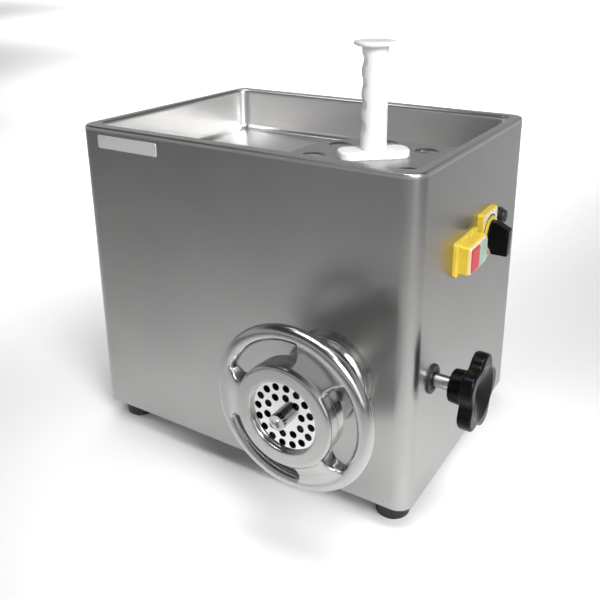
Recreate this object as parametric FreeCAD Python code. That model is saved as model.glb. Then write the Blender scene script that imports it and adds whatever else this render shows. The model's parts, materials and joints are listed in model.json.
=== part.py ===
import FreeCAD, Part
import math
import os

# Electric meat grinder, table-top, all dimensions in millimetres.
# The housing's own frame: X to the operator's right, Y to the rear, Z up from the standing plane,
# with X = Y = 0 in the middle of the sheet-metal housing.  save() moves every piece so that the
# origin of the part lies on the standing plane below the middle of the whole machine's extents.

V = FreeCAD.Vector

# ---------------------------------------------------------------- driving dimensions
HOUSE_W = 523.0          # housing width, X
HOUSE_D = 385.0          # housing depth, Y
HOUSE_H = 440.0          # height of the sheet-metal housing above the feet
FOOT_H = 33.0            # rubber foot height
SHEET = 2.0              # sheet thickness of shell, pan and base
CORNER_R = 21.6          # vertical corner radius of the housing
SKIRT = 6.0              # turned-down edge of the pressed top
RIM_R = 4.0              # outer rounding of the pressed top

AXIS_X = 152.5           # grinding head axis, parallel to Y
AXIS_Z = 201.0
FEED_Y = -90.0           # feed throat and pusher axis, parallel to Z, at AXIS_X

PAN_X = 244.0            # half length of the pan opening
PAN_Y = 170.0            # half width of the pan opening
PAN_R = 15.0             # corner radius of the pan opening
PAN_DEPTH = 70.0
THROAT_OUT_R = 30.0      # drop tube from the pan to the barrel
THROAT_IN_R = 27.0

GUARD_LEFT = 51.0        # edges of the hand guard
GUARD_RIGHT = 242.5
GUARD_REAR = 6.0
GUARD_FRONT = -168.5
GUARD_ARC = 97.0         # sweep of its rear left corner
GUARD_T = 3.0
GUARD_BORE_R = 19.5      # hole the pusher passes
GUARD_HOLE_R = 15.5
GUARD_HOLE_RING = 76.0
GUARD_HOLE_ANGLES = [52, 103, 152, 205, 329]

STEM_R = 17.5            # pusher
GRIP_R = 16.4
CAP_T = 6.0
FLANGE_T = 10.0
FLANGE_TURN = 41.0       # the long flange is turned this much from X

BARREL_R = 50.0          # outside radius of the grinding barrel
BORE_R = 44.2            # barrel bore
THREAD_R = 57.0          # outside radius of the barrel's threaded end
PLATE_R = 49.5           # cutting plate, 99 mm
PLATE_T = 11.5
NUT_R = 64.0             # ring nut
WHEEL_R = 95.5           # centre-line radius of the hand wheel's tube ring
WHEEL_TUBE_R = 9.7
FIT = 0.3                # gap between curved faces that move past each other
RUN = 0.08               # radial clearance of a running fit
COLLAR_R = 56.5          # barrel socket where it passes the front wall
SOCKET_BACK = -44.0
SHANK_R = 14.0           # rear bearing of the worm
JOURNAL_R = 10.0         # front bearing of the worm
TANG = 10.0              # half width of the square tang
WORM_CORE_R = 15.0
WORM_BACK = -61.0
WORM_PITCH = 43.0

KNOB_Y = -130.0          # clamp screw axis, parallel to X
KNOB_Z = 196.0
KNOB_R = 49.0            # lobe radius of the star knob
KNOB_VALLEY = 0.2        # depth of the valleys, as a share of KNOB_R
SCREW_R = 9.0

GEARBOX_FRONT = -36.0
GEAR_Y0 = -16.0
GEAR_Y1 = 8.0
HUB_R = 22.0
MOTOR_SHAFT_R = 9.0
MODULE = 2.0             # reduction gears
GEAR_TEETH = 90
PINION_TEETH = 15
PRESSURE_ANGLE = 25.0

SWITCH_Y = -43.5         # start and stop box on the right side
SWITCH_Z = 336.5
SELECTOR_Y = 31.5        # rotary selector behind it
SELECTOR_Z = 339.0
RESET_Y = 98.5           # overload reset button
RESET_Z = 344.0
BUTTON_STEP = 14.6       # from the middle of the box to each button
BOX_DEPTH = 18.5         # how far the box stands out from the wall

REAR_COVER_X = 47.5      # service cover and cable gland at the rear
REAR_COVER_Z = 225.0
REAR_OPEN_X = 95.0
REAR_OPEN_Z = 85.0
GLAND_X = -190.0
GLAND_Z = 84.0
GLAND_THREAD_R = 10.0
GLAND_BORE_R = 4.5

# ---------------------------------------------------------------- places that follow from them
FRONT = -HOUSE_D / 2
REAR = HOUSE_D / 2
RIGHT = HOUSE_W / 2
TOP = FOOT_H + HOUSE_H
FLOOR_Z = TOP - PAN_DEPTH
MOTOR_X = AXIS_X - MODULE * (GEAR_TEETH + PINION_TEETH) / 2
NUT_FRONT = FRONT - 112.0
PLATE_FRONT = FRONT - 106.0
WHEEL_Y = FRONT - 89.0
COLLAR_FRONT = FRONT - 20.0
GUARD_TOP = TOP - 15.0
CAP_Z = TOP + 121.5
KNIFE_FRONT = PLATE_FRONT + PLATE_T + 0.3
WORM_FRONT = KNIFE_FRONT + 10.1
JOURNAL_END = FRONT - 122.0
GLAND_END = REAR + 22.5
KNOB_FACE = RIGHT + 66.5

# the middle of the extents: housing side to knob face, worm journal to cable gland
ORIGIN_X = (-HOUSE_W / 2 + KNOB_FACE) / 2
ORIGIN_Y = (JOURNAL_END + GLAND_END) / 2

saved = []


# ---------------------------------------------------------------- building blocks
def box(x0, x1, y0, y1, z0, z1):
    return Part.makeBox(x1 - x0, y1 - y0, z1 - z0, V(x0, y0, z0))


def cyl_x(r, x0, x1, y, z):
    return Part.makeCylinder(r, x1 - x0, V(x0, y, z), V(1, 0, 0))


def cyl_y(r, y0, y1, x=AXIS_X, z=AXIS_Z):
    return Part.makeCylinder(r, y1 - y0, V(x, y0, z), V(0, 1, 0))


def cyl_z(r, z0, z1, x, y):
    return Part.makeCylinder(r, z1 - z0, V(x, y, z0), V(0, 0, 1))


def ring_y(r_out, r_in, y0, y1, x=AXIS_X, z=AXIS_Z):
    return cyl_y(r_out, y0, y1, x, z).cut(cyl_y(r_in, y0 - 1, y1 + 1, x, z))


def ring_x(r_out, r_in, x0, x1, y, z):
    return cyl_x(r_out, x0, x1, y, z).cut(cyl_x(r_in, x0 - 1, x1 + 1, y, z))


def fuse_all(shapes):
    return shapes[0].multiFuse(shapes[1:]).removeSplitter()


def cut_all(shape, tools):
    for tool in tools:
        shape = shape.cut(tool)
    return shape


def rounded_outline(half_x, half_y, radius):
    """Closed wire of a rectangle with round corners, centred on the origin of the XY plane."""
    edges = []
    corners = [(1, 1), (-1, 1), (-1, -1), (1, -1)]
    for index, (sx, sy) in enumerate(corners):
        cx = sx * (half_x - radius)
        cy = sy * (half_y - radius)
        start = math.radians(90 * index)
        arc = [V(cx + radius * math.cos(start + k * math.pi / 4),
                 cy + radius * math.sin(start + k * math.pi / 4), 0) for k in range(3)]
        edges.append(Part.Arc(arc[0], arc[1], arc[2]).toShape())
        nx, ny = corners[(index + 1) % 4]
        turn = start + math.pi / 2
        following = V(nx * (half_x - radius) + radius * math.cos(turn),
                      ny * (half_y - radius) + radius * math.sin(turn), 0)
        edges.append(Part.makeLine(arc[2], following))
    return Part.Wire(edges)


def rounded_prism(half_x, half_y, radius, z0, z1, x=0.0, y=0.0):
    face = Part.Face(rounded_outline(half_x, half_y, radius))
    face.translate(V(x, y, z0))
    return face.extrude(V(0, 0, z1 - z0))


def side_prism(half_y, half_z, radius, x0, x1, y, z):
    """Rounded prism that stands out along +X: half_y along Y, half_z along Z."""
    face = Part.Face(rounded_outline(half_y, half_z, radius))
    face.rotate(V(0, 0, 0), V(1, 0, 0), 90)
    face.rotate(V(0, 0, 0), V(0, 0, 1), 90)
    face.translate(V(x0, y, z))
    return face.extrude(V(x1 - x0, 0, 0))


def front_prism(half_x, half_z, radius, y0, y1, x, z):
    """Rounded prism that stands along Y: half_x along X, half_z along Z."""
    face = Part.Face(rounded_outline(half_x, half_z, radius))
    face.rotate(V(0, 0, 0), V(1, 0, 0), 90)
    face.translate(V(x, y0, z))
    return face.extrude(V(0, y1 - y0, 0))


def fillet_where(shape, radius, test):
    """Round the edges whose mid points pass the test."""
    edges = [e for e in shape.Edges if test(e.CenterOfMass, e.BoundBox)]
    return shape.makeFillet(radius, edges)


def turned_y(points, x=AXIS_X, z=AXIS_Z):
    """Body of revolution about a line along Y through (x, z); points are (radius, y)."""
    outline = [V(x + r, y, z) for r, y in points]
    outline.append(outline[0])
    face = Part.Face(Part.makePolygon(outline))
    return face.revolve(V(x, 0, z), V(0, 1, 0), 360)


def turned_x(points, y, z):
    """Body of revolution about a line along X through (y, z); points are (radius, x)."""
    outline = [V(x, y, z + r) for r, x in points]
    outline.append(outline[0])
    face = Part.Face(Part.makePolygon(outline))
    return face.revolve(V(0, y, z), V(1, 0, 0), 360)


def group(shapes):
    return Part.makeCompound(shapes)


def save(name, shape):
    """Move the piece into the part's frame and write it."""
    moved = shape.copy()
    moved.translate(V(-ORIGIN_X, -ORIGIN_Y, 0))
    if not moved.isValid() or not moved.Solids:
        raise ValueError(name + " is not a valid solid")
    saved.append((name, len(moved.Solids), round(moved.Volume)))
    moved.exportStep("parts/" + name + ".step")


# ---------------------------------------------------------------- housing
def housing_shell():
    """Folded wrapper, open above and below, with the holes for everything that passes it."""
    outer = rounded_prism(HOUSE_W / 2, HOUSE_D / 2, CORNER_R, FOOT_H, TOP - SKIRT)
    inner = rounded_prism(HOUSE_W / 2 - SHEET, HOUSE_D / 2 - SHEET, CORNER_R - SHEET,
                          FOOT_H - 1, TOP)
    inside = RIGHT - 5
    outside = RIGHT + 5
    holes = [
        cyl_y(COLLAR_R, FRONT - 5, FRONT + 5),
        cyl_x(11.0, inside, outside, KNOB_Y, KNOB_Z),
        side_prism(29.5, 17.5, 3, inside, outside, SWITCH_Y - 1.5, SWITCH_Z),
        cyl_x(15.0, inside, outside, SELECTOR_Y, SELECTOR_Z),
        cyl_x(6.0, inside, outside, RESET_Y, RESET_Z),
        front_prism(REAR_OPEN_X, REAR_OPEN_Z, 8, REAR - 5, REAR + 5, REAR_COVER_X, REAR_COVER_Z),
        cyl_y(GLAND_THREAD_R, REAR - 5, REAR + 5, GLAND_X, GLAND_Z),
    ]
    return cut_all(outer.cut(inner), holes)


def hopper_pan():
    """Pressed top: rounded skirt on the housing, flat rim and the meat pan sunk into it."""
    def sunk_block(gap, shoulder):
        top = TOP - gap
        block = rounded_prism(HOUSE_W / 2 - gap, HOUSE_D / 2 - gap, CORNER_R - gap, FLOOR_Z - 30, top)
        block = fillet_where(block, RIM_R - gap, lambda c, b: b.ZMin > top - 0.01)
        pocket = rounded_prism(PAN_X + gap, PAN_Y + gap, PAN_R + gap, FLOOR_Z - gap, top + 20)
        pocket = fillet_where(pocket, 10.0 + gap, lambda c, b: b.ZMax < FLOOR_Z + 0.1)
        block = block.cut(pocket)
        return fillet_where(block, shoulder, lambda c, b: b.ZMin > top - 0.01
                            and abs(c.x) < PAN_X + 3 and abs(c.y) < PAN_Y + 3)

    top_side = sunk_block(0.0, 6.0)
    under_side = sunk_block(SHEET, 4.0)
    below = TOP - SKIRT
    wall = rounded_prism(HOUSE_W / 2 + 5, HOUSE_D / 2 + 5, CORNER_R, FLOOR_Z - 40, below)
    middle = rounded_prism(PAN_X + 8, PAN_Y + 8, PAN_R, FLOOR_Z - 50, below + 10)
    hole = cyl_z(THROAT_OUT_R, FLOOR_Z - 10, FLOOR_Z + 10, AXIS_X, FEED_Y)
    return cut_all(top_side, [under_side, wall.cut(middle), hole])


def feed_throat():
    """Drop tube from the pan floor to the opening on top of the barrel."""
    lower = AXIS_Z + BARREL_R + 1.0
    tube = cyl_z(THROAT_OUT_R, lower, FLOOR_Z + 2.0, AXIS_X, FEED_Y)
    return tube.cut(cyl_z(THROAT_IN_R, lower - 1, FLOOR_Z + 5, AXIS_X, FEED_Y))


def throat_flange():
    """Welded ring that carries the drop tube on the pan floor."""
    ring = cyl_z(THROAT_OUT_R + 9, FLOOR_Z, FLOOR_Z + 2.0, AXIS_X, FEED_Y)
    ring = ring.makeChamfer(1.0, [e for e in ring.Edges if e.BoundBox.ZMin > FLOOR_Z + 1.9])
    return ring.cut(cyl_z(THROAT_OUT_R, FLOOR_Z - 1, FLOOR_Z + 5, AXIS_X, FEED_Y))


def base_plate():
    """Bottom sheet with rows of cooling slots."""
    plate = rounded_prism(HOUSE_W / 2 - SHEET - 0.2, HOUSE_D / 2 - SHEET - 0.2,
                          CORNER_R - SHEET - 0.2, FOOT_H, FOOT_H + SHEET)
    slots = []
    for row in range(7):
        for column in (-1, 1):
            slots.append(rounded_prism(38, 3, 2.9, FOOT_H - 1, FOOT_H + 5,
                                       MOTOR_X + column * 50, -60 + row * 18))
    return cut_all(plate, slots)


def foot_centres():
    dx = HOUSE_W / 2 - 36.5
    dy = HOUSE_D / 2 - 39.6
    return {"front_left": (-dx, -dy), "front_right": (dx, -dy),
            "rear_left": (-dx, dy), "rear_right": (dx, dy)}


def foot(x, y):
    """Round rubber foot, slightly narrower below, with a counterbore for its screw."""
    outline = [(0, 0), (21.5, 0), (22.5, 1.5), (24, FOOT_H), (0, FOOT_H)]
    points = [V(x + r, y, z) for r, z in outline]
    points.append(points[0])
    body = Part.Face(Part.makePolygon(points)).revolve(V(x, y, 0), V(0, 0, 1), 360)
    return cut_all(body, [cyl_z(8, -1, 14, x, y), cyl_z(3.2, 0, FOOT_H + 1, x, y)])


def foot_screws():
    screws = []
    for x, y in foot_centres().values():
        head = cyl_z(6.5, 9.0, 14.0, x, y)
        shank = cyl_z(3.0, 14.0, FOOT_H, x, y)
        screws.append(head.fuse(shank).removeSplitter())
    return group(screws)


def rear_cover():
    """Screwed service cover with pressed cooling louvres behind the motor."""
    y0 = REAR
    y1 = REAR + 1.5
    plate = front_prism(REAR_OPEN_X + 14, REAR_OPEN_Z + 14, 10, y0, y1, REAR_COVER_X, REAR_COVER_Z)
    hoods = []
    slots = []
    for column in (-1, 1):
        x = REAR_COVER_X + column * 42
        for row in range(8):
            z = REAR_COVER_Z - 63 + row * 18
            hood = Part.makeWedge(0, 0, 0, 0, 0, 70, 5, 9, 0, 70)
            hood.translate(V(x - 35, y1, z))
            hoods.append(hood)
            slots.append(box(x - 32, x + 32, y0 - 1, y1 + 3.2, z - 1, z + 3.5))
    body = cut_all(fuse_all([plate] + hoods), slots)
    holes = [cyl_y(2.2, y0 - 2, y1 + 2, x, z) for x, z in rear_screw_places()]
    return cut_all(body, holes)


def rear_screw_places():
    dx = REAR_OPEN_X + 7
    dz = REAR_OPEN_Z + 7
    places = [(REAR_COVER_X + sx * dx, REAR_COVER_Z + sz * dz) for sx in (-1, 1) for sz in (-1, 1)]
    return places + [(REAR_COVER_X, REAR_COVER_Z - dz), (REAR_COVER_X, REAR_COVER_Z + dz)]


def rear_screws():
    screws = []
    for x, z in rear_screw_places():
        head = Part.makeSphere(6.5, V(x, REAR - 2.6, z)).common(
            box(x - 6, x + 6, REAR + 1.5, REAR + 6, z - 6, z + 6))
        shank = cyl_y(2.0, REAR, REAR + 1.6, x, z)
        recess = box(x - 2.5, x + 2.5, REAR + 2.6, REAR + 6, z - 0.6, z + 0.6)
        cross = box(x - 0.6, x + 0.6, REAR + 2.6, REAR + 6, z - 2.5, z + 2.5)
        screws.append(head.fuse(shank).cut(recess).cut(cross).removeSplitter())
    return group(screws)


def hexagon_y(across_flats, y0, y1, x, z):
    circum = across_flats / math.sqrt(3)
    points = [V(x + circum * math.cos(math.radians(60 * k)), y0,
                z + circum * math.sin(math.radians(60 * k))) for k in range(7)]
    return Part.Face(Part.makePolygon(points)).extrude(V(0, y1 - y0, 0))


def cable_gland():
    """Threaded gland body with a domed compression nut, bored for the mains lead."""
    thread = cyl_y(GLAND_THREAD_R, REAR - 12, REAR, GLAND_X, GLAND_Z)
    body = hexagon_y(24, REAR, REAR + 6, GLAND_X, GLAND_Z)
    dome = turned_y([(0, REAR + 6), (11.5, REAR + 6), (11.5, REAR + 14), (9.5, GLAND_END - 2),
                     (8.0, GLAND_END), (0, GLAND_END)], GLAND_X, GLAND_Z)
    bore = cyl_y(GLAND_BORE_R, REAR - 20, GLAND_END + 5, GLAND_X, GLAND_Z)
    return fuse_all([thread, body, dome]).cut(bore)


def gland_locknut():
    y0 = REAR - SHEET - 5
    nut = hexagon_y(25, y0, REAR - SHEET, GLAND_X, GLAND_Z)
    return nut.cut(cyl_y(GLAND_THREAD_R, y0 - 1, REAR, GLAND_X, GLAND_Z))


def name_plate():
    """Blank plate glued to the upper left of the front."""
    plate = front_prism(54.0, 9.2, 2.5, FRONT - 1.0, FRONT, -170.0, TOP - 19.5)
    return plate.makeFillet(0.4, [e for e in plate.Edges if e.BoundBox.YMax < FRONT - 0.9])


# ---------------------------------------------------------------- feed guard and pusher
def guard_plate():
    """Hand guard over the feed throat, its rear left corner swept round the throat."""
    arc_x = GUARD_LEFT + GUARD_ARC
    arc_y = GUARD_REAR - GUARD_ARC
    diagonal = GUARD_ARC * math.sqrt(0.5)
    front_left = V(GUARD_LEFT, GUARD_FRONT, 0)
    front_right = V(GUARD_RIGHT, GUARD_FRONT, 0)
    rear_right = V(GUARD_RIGHT, GUARD_REAR, 0)
    arc_start = V(arc_x, GUARD_REAR, 0)
    arc_mid = V(arc_x - diagonal, arc_y + diagonal, 0)
    arc_end = V(GUARD_LEFT, arc_y, 0)
    outline = Part.Wire([
        Part.makeLine(front_left, front_right),
        Part.makeLine(front_right, rear_right),
        Part.makeLine(rear_right, arc_start),
        Part.Arc(arc_start, arc_mid, arc_end).toShape(),
        Part.makeLine(arc_end, front_left),
    ])
    face = Part.Face(outline)
    face.translate(V(0, 0, GUARD_TOP - GUARD_T))
    plate = face.extrude(V(0, 0, GUARD_T))
    plate = plate.makeFillet(12.0, [e for e in plate.Edges
                                    if e.BoundBox.ZLength > GUARD_T - 0.1
                                    and e.BoundBox.XLength < 0.1 and e.BoundBox.YLength < 0.1
                                    and (e.CenterOfMass.x > 200 or e.CenterOfMass.y < -160)])
    z0 = GUARD_TOP - GUARD_T - 1
    tools = [cyl_z(GUARD_BORE_R, z0, GUARD_TOP + 1, AXIS_X, FEED_Y)]
    for angle in GUARD_HOLE_ANGLES:
        turn = math.radians(angle)
        tools.append(cyl_z(GUARD_HOLE_R, z0, GUARD_TOP + 1,
                           AXIS_X + GUARD_HOLE_RING * math.cos(turn),
                           FEED_Y + GUARD_HOLE_RING * math.sin(turn)))
    return cut_all(plate, tools)


def guard_posts():
    """Four pillars welded to the pan floor that carry the guard."""
    places = [(66, -152), (228, -152), (228, -8), (104, -30)]
    return group([cyl_z(4.0, FLOOR_Z, GUARD_TOP - GUARD_T, x, y) for x, y in places])


def pusher_stem():
    """Plastic rod that reaches down the throat, with the bar flange that rests on the guard."""
    stem = cyl_z(STEM_R, AXIS_Z + BARREL_R + 7, GUARD_TOP, AXIS_X, FEED_Y)
    stem = stem.makeFillet(3.0, [e for e in stem.Edges if e.BoundBox.ZMax < AXIS_Z + 60])
    flange = rounded_prism(45.2, 20.0, 16.0, GUARD_TOP, GUARD_TOP + FLANGE_T)
    flange = flange.makeFillet(2.5, [e for e in flange.Edges
                                     if e.BoundBox.ZMin > GUARD_TOP + FLANGE_T - 0.1])
    flange.rotate(V(0, 0, 0), V(0, 0, 1), FLANGE_TURN)
    flange.translate(V(AXIS_X, FEED_Y, 0))
    return stem.fuse(flange).removeSplitter()


def pusher_grip():
    """Round grip with four finger grooves on one side and a disc on top."""
    z0 = GUARD_TOP + FLANGE_T
    grip = cyl_z(GRIP_R, z0, CAP_Z, AXIS_X, FEED_Y)
    turn = math.radians(FLANGE_TURN + 180)
    for index in range(4):
        z = CAP_Z - 18 - 26.5 * index
        groove = cyl_z(12.5, -60, 60, 0, 0)
        groove.rotate(V(0, 0, 0), V(1, 0, 0), 90)
        groove.rotate(V(0, 0, 0), V(0, 0, 1), FLANGE_TURN)
        groove.translate(V(AXIS_X + (GRIP_R + 8.7) * math.cos(turn),
                           FEED_Y + (GRIP_R + 8.7) * math.sin(turn), z))
        grip = grip.cut(groove)
    disc = cyl_z(26.5, CAP_Z, CAP_Z + CAP_T, AXIS_X, FEED_Y)
    disc = disc.makeFillet(2.4, [e for e in disc.Edges if e.BoundBox.XLength > 50])
    return grip.fuse(disc).removeSplitter()


# ---------------------------------------------------------------- barrel socket and clamp
def barrel_socket():
    """Fixed sleeve from the gearbox to the collar in front of the housing."""
    y0 = COLLAR_FRONT
    sleeve = turned_y([(BARREL_R + RUN, y0 + 1.0), (BARREL_R + 1.2, y0), (53.0, y0),
                       (55.5, y0 + 3.0), (55.5, y0 + 6.0), (COLLAR_R, y0 + 6.6), (COLLAR_R, SOCKET_BACK),
                       (BARREL_R + RUN, SOCKET_BACK)])
    flange = ring_y(76.0, BARREL_R + RUN, SOCKET_BACK, GEARBOX_FRONT)
    boss = cyl_x(17.0, AXIS_X + 45, RIGHT - 24, KNOB_Y, KNOB_Z)
    body = fuse_all([sleeve, flange, boss])
    tools = [cyl_y(BARREL_R + RUN, y0 + 1.0, SOCKET_BACK),
             cyl_x(SCREW_R + RUN, AXIS_X + 30, RIGHT, KNOB_Y, KNOB_Z),
             cyl_z(THROAT_OUT_R + 1, AXIS_Z + 20, AXIS_Z + 80, AXIS_X, FEED_Y)]
    for k in range(6):
        turn = math.radians(30 + 60 * k)
        tools.append(cyl_y(4.3, SOCKET_BACK - 1, GEARBOX_FRONT + 1,
                           AXIS_X + 66 * math.cos(turn), AXIS_Z + 66 * math.sin(turn)))
    return cut_all(body, tools)


def socket_bolts():
    bolts = []
    for k in range(6):
        turn = math.radians(30 + 60 * k)
        x = AXIS_X + 66 * math.cos(turn)
        z = AXIS_Z + 66 * math.sin(turn)
        head = hexagon_y(13, SOCKET_BACK - 5.5, SOCKET_BACK, x, z)
        bolts.append(head.fuse(cyl_y(4.0, SOCKET_BACK, GEARBOX_FRONT, x, z)).removeSplitter())
    return group(bolts)


def collar_gasket():
    """Thin bright flange ring where the socket passes the front wall."""
    return ring_y(59.5, COLLAR_R, FRONT - 1.6, FRONT)


def clamp_pad():
    x0 = AXIS_X + BARREL_R + 0.3
    return cyl_x(7.5, x0, x0 + 4.0, KNOB_Y, KNOB_Z)


def clamp_screw():
    x0 = AXIS_X + BARREL_R + 4.3
    screw = cyl_x(SCREW_R, x0, RIGHT + 38, KNOB_Y, KNOB_Z)
    return screw.makeChamfer(1.2, [e for e in screw.Edges if e.BoundBox.XMax < x0 + 0.1])


def clamp_grommet():
    """Black washer that seals the screw's hole in the side wall."""
    washer = turned_x([(SCREW_R + 0.6, RIGHT), (19.0, RIGHT), (19.0, RIGHT + 2.2), (17.6, RIGHT + 3.4),
                       (13.5, RIGHT + 3.4), (12.5, RIGHT + 2.0), (SCREW_R + 0.6, RIGHT + 2.0)],
                      KNOB_Y, KNOB_Z)
    return washer


def star_knob():
    """Five-lobed knob: hub, lobed rim and a conical dish in its front."""
    hub_x = RIGHT + 27.0
    rim_x = RIGHT + 49.0
    lobes = 5
    samples = 12 * lobes
    points = []
    for k in range(samples):
        turn = 2 * math.pi * k / samples
        dip = (1 - math.cos(lobes * turn)) / 2
        radius = KNOB_R * (1 - KNOB_VALLEY * dip ** 1.6)
        points.append(V(rim_x, KNOB_Y + radius * math.cos(turn), KNOB_Z + radius * math.sin(turn)))
    outline = Part.BSplineCurve()
    outline.interpolate(points, PeriodicFlag=True)
    rim = Part.Face(Part.Wire(outline.toShape())).extrude(V(KNOB_FACE - rim_x, 0, 0))
    rim = rim.makeFillet(3.5, [e for e in rim.Edges if e.BoundBox.XLength < 0.1])
    hub = turned_x([(0, hub_x), (19.6, hub_x), (21.0, hub_x + 1.5), (22.5, rim_x), (27, rim_x + 4),
                    (0, rim_x + 4)], KNOB_Y, KNOB_Z)
    dish = turned_x([(0, KNOB_FACE - 11.5), (4, KNOB_FACE - 11.5), (34.5, KNOB_FACE),
                     (34.5, KNOB_FACE + 3), (0, KNOB_FACE + 3)], KNOB_Y, KNOB_Z)
    bore = cyl_x(SCREW_R, hub_x - 1, RIGHT + 38, KNOB_Y, KNOB_Z)
    return cut_all(rim.fuse(hub), [dish, bore]).removeSplitter()


# ---------------------------------------------------------------- grinding head
def barrel():
    """Grinding tube: threaded front end, feed opening above, bearing wall behind."""
    front = PLATE_FRONT + 1.0
    body = turned_y([(0, front), (THREAD_R - 1.5, front), (THREAD_R, front + 1.5),
                     (THREAD_R, front + 25), (THREAD_R - 2, front + 27), (BARREL_R, front + 30),
                     (BARREL_R, -47), (BARREL_R - 1, -46), (0, -46)])
    key_z = AXIS_Z - PLATE_R - FIT
    tools = [cyl_y(PLATE_R + FIT, front - 1, front + 21.5),
             cyl_y(BORE_R, front, -60),
             cyl_y(SHANK_R + RUN, -80, -40),
             cyl_z(THROAT_IN_R + 1, AXIS_Z, AXIS_Z + 70, AXIS_X, FEED_Y)]
    key = box(AXIS_X - 2.5, AXIS_X + 2.5, front + 2.0, front + 10.0, key_z - 1.5, key_z + 3.0)
    return cut_all(body, tools).fuse(key).removeSplitter()


def worm():
    """Feed screw with its square seat for the knife, front journal and rear drive tang."""
    core = turned_y([(0, WORM_FRONT), (20, WORM_FRONT), (20, WORM_FRONT + 6), (WORM_CORE_R, WORM_FRONT + 16),
                     (WORM_CORE_R + 5, WORM_BACK - 4), (24, WORM_BACK), (SHANK_R, WORM_BACK),
                     (SHANK_R, -43.5), (0, -43.5)])
    length = WORM_BACK - WORM_FRONT - 14
    helix = Part.makeHelix(WORM_PITCH, length, WORM_CORE_R - 1)
    inner = WORM_CORE_R - 2.0
    outer = BORE_R - 0.9
    section = Part.makePolygon([V(inner, 0, -4.5), V(outer, 0, -1.6), V(outer, 0, 1.6),
                                V(inner, 0, 4.5), V(inner, 0, -4.5)])
    flight = Part.Wire(helix).makePipeShell([section], True, True)
    flight.rotate(V(0, 0, 0), V(1, 0, 0), -90)
    flight.translate(V(AXIS_X, WORM_FRONT + 8, AXIS_Z))
    tang = box(AXIS_X - TANG, AXIS_X + TANG, -43.5, -10, AXIS_Z - TANG, AXIS_Z + TANG)
    seat = box(AXIS_X - 9, AXIS_X + 9, KNIFE_FRONT, WORM_FRONT, AXIS_Z - 9, AXIS_Z + 9)
    journal = turned_y([(0, JOURNAL_END), (9.2, JOURNAL_END), (JOURNAL_R, JOURNAL_END + 0.8),
                        (JOURNAL_R, KNIFE_FRONT), (0, KNIFE_FRONT)])
    centre = turned_y([(0, JOURNAL_END - 1), (6.0, JOURNAL_END - 1), (6.0, JOURNAL_END + 1.2),
                       (0, JOURNAL_END + 3.0)])
    return fuse_all([core, flight, tang, seat, journal]).cut(centre)


def knife():
    """Four-bladed cross knife on the worm's square seat."""
    y0 = KNIFE_FRONT
    y1 = WORM_FRONT
    hub = cyl_y(17, y0 + 1, y1)
    blades = [hub]
    for k in range(4):
        turn = 90 * k + 20
        outline = Part.makePolygon([V(0, 0, -9), V(36, 0, -9), V(42.5, 0, -2), V(42, 0, 5),
                                    V(20, 0, 8), V(0, 0, 9), V(0, 0, -9)])
        blade = Part.Face(outline).extrude(V(0, y1 - y0, 0))
        slope = Part.makeWedge(0, 0, 0, 0, 0, 60, 6, 10, 0, 60)
        slope.translate(V(0, (y1 - y0) - 6, 6))
        blade = blade.cut(slope)
        blade.rotate(V(0, 0, 0), V(0, 1, 0), turn)
        blade.translate(V(AXIS_X, y0, AXIS_Z))
        blades.append(blade)
    seat = box(AXIS_X - 9, AXIS_X + 9, y0 - 1, y1 + 1, AXIS_Z - 9, AXIS_Z + 9)
    return fuse_all(blades).cut(seat)


def cutting_plate():
    """Perforated plate: sixteen outer and ten inner holes, a journal bore and a key slot."""
    y0 = PLATE_FRONT
    y1 = PLATE_FRONT + PLATE_T
    plate = cyl_y(PLATE_R, y0, y1)
    plate = plate.makeChamfer(0.8, [e for e in plate.Edges if e.BoundBox.YLength < 0.1])
    holes = [cyl_y(JOURNAL_R + RUN, y0 - 1, y1 + 1),
             box(AXIS_X - 3, AXIS_X + 3, y0 - 1, y1 + 1, AXIS_Z - PLATE_R - 5, AXIS_Z - PLATE_R + 4)]
    for count, ring, first in ((16, 36.0, 17.5), (10, 23.6, 12.0)):
        for k in range(count):
            turn = math.radians(first + 360.0 * k / count)
            holes.append(cyl_y(4.7, y0 - 1, y1 + 1, AXIS_X + ring * math.cos(turn),
                               AXIS_Z + ring * math.sin(turn)))
    return plate.cut(Part.makeCompound(holes))


def nut_outside():
    """Outer profile of the ring nut, from its front rim to its rear edge; (radius, y)."""
    y0 = NUT_FRONT
    return [(61.5, y0), (NUT_R, y0 + 2.5), (NUT_R, y0 + 17), (NUT_R - 1.2, y0 + 18.5),
            (NUT_R - 1.2, y0 + 33), (NUT_R - 2.4, y0 + 34)]


def ring_nut():
    """Ring nut that holds the cutting plate: a lip in front, a smooth skirt round the thread."""
    y0 = NUT_FRONT
    front = [(44.0, y0 + 1.5), (45.5, y0)]
    thread = [(THREAD_R + FIT, y0 + 34), (THREAD_R + FIT, PLATE_FRONT), (44.0, PLATE_FRONT)]
    return turned_y(front + nut_outside() + thread)


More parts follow.
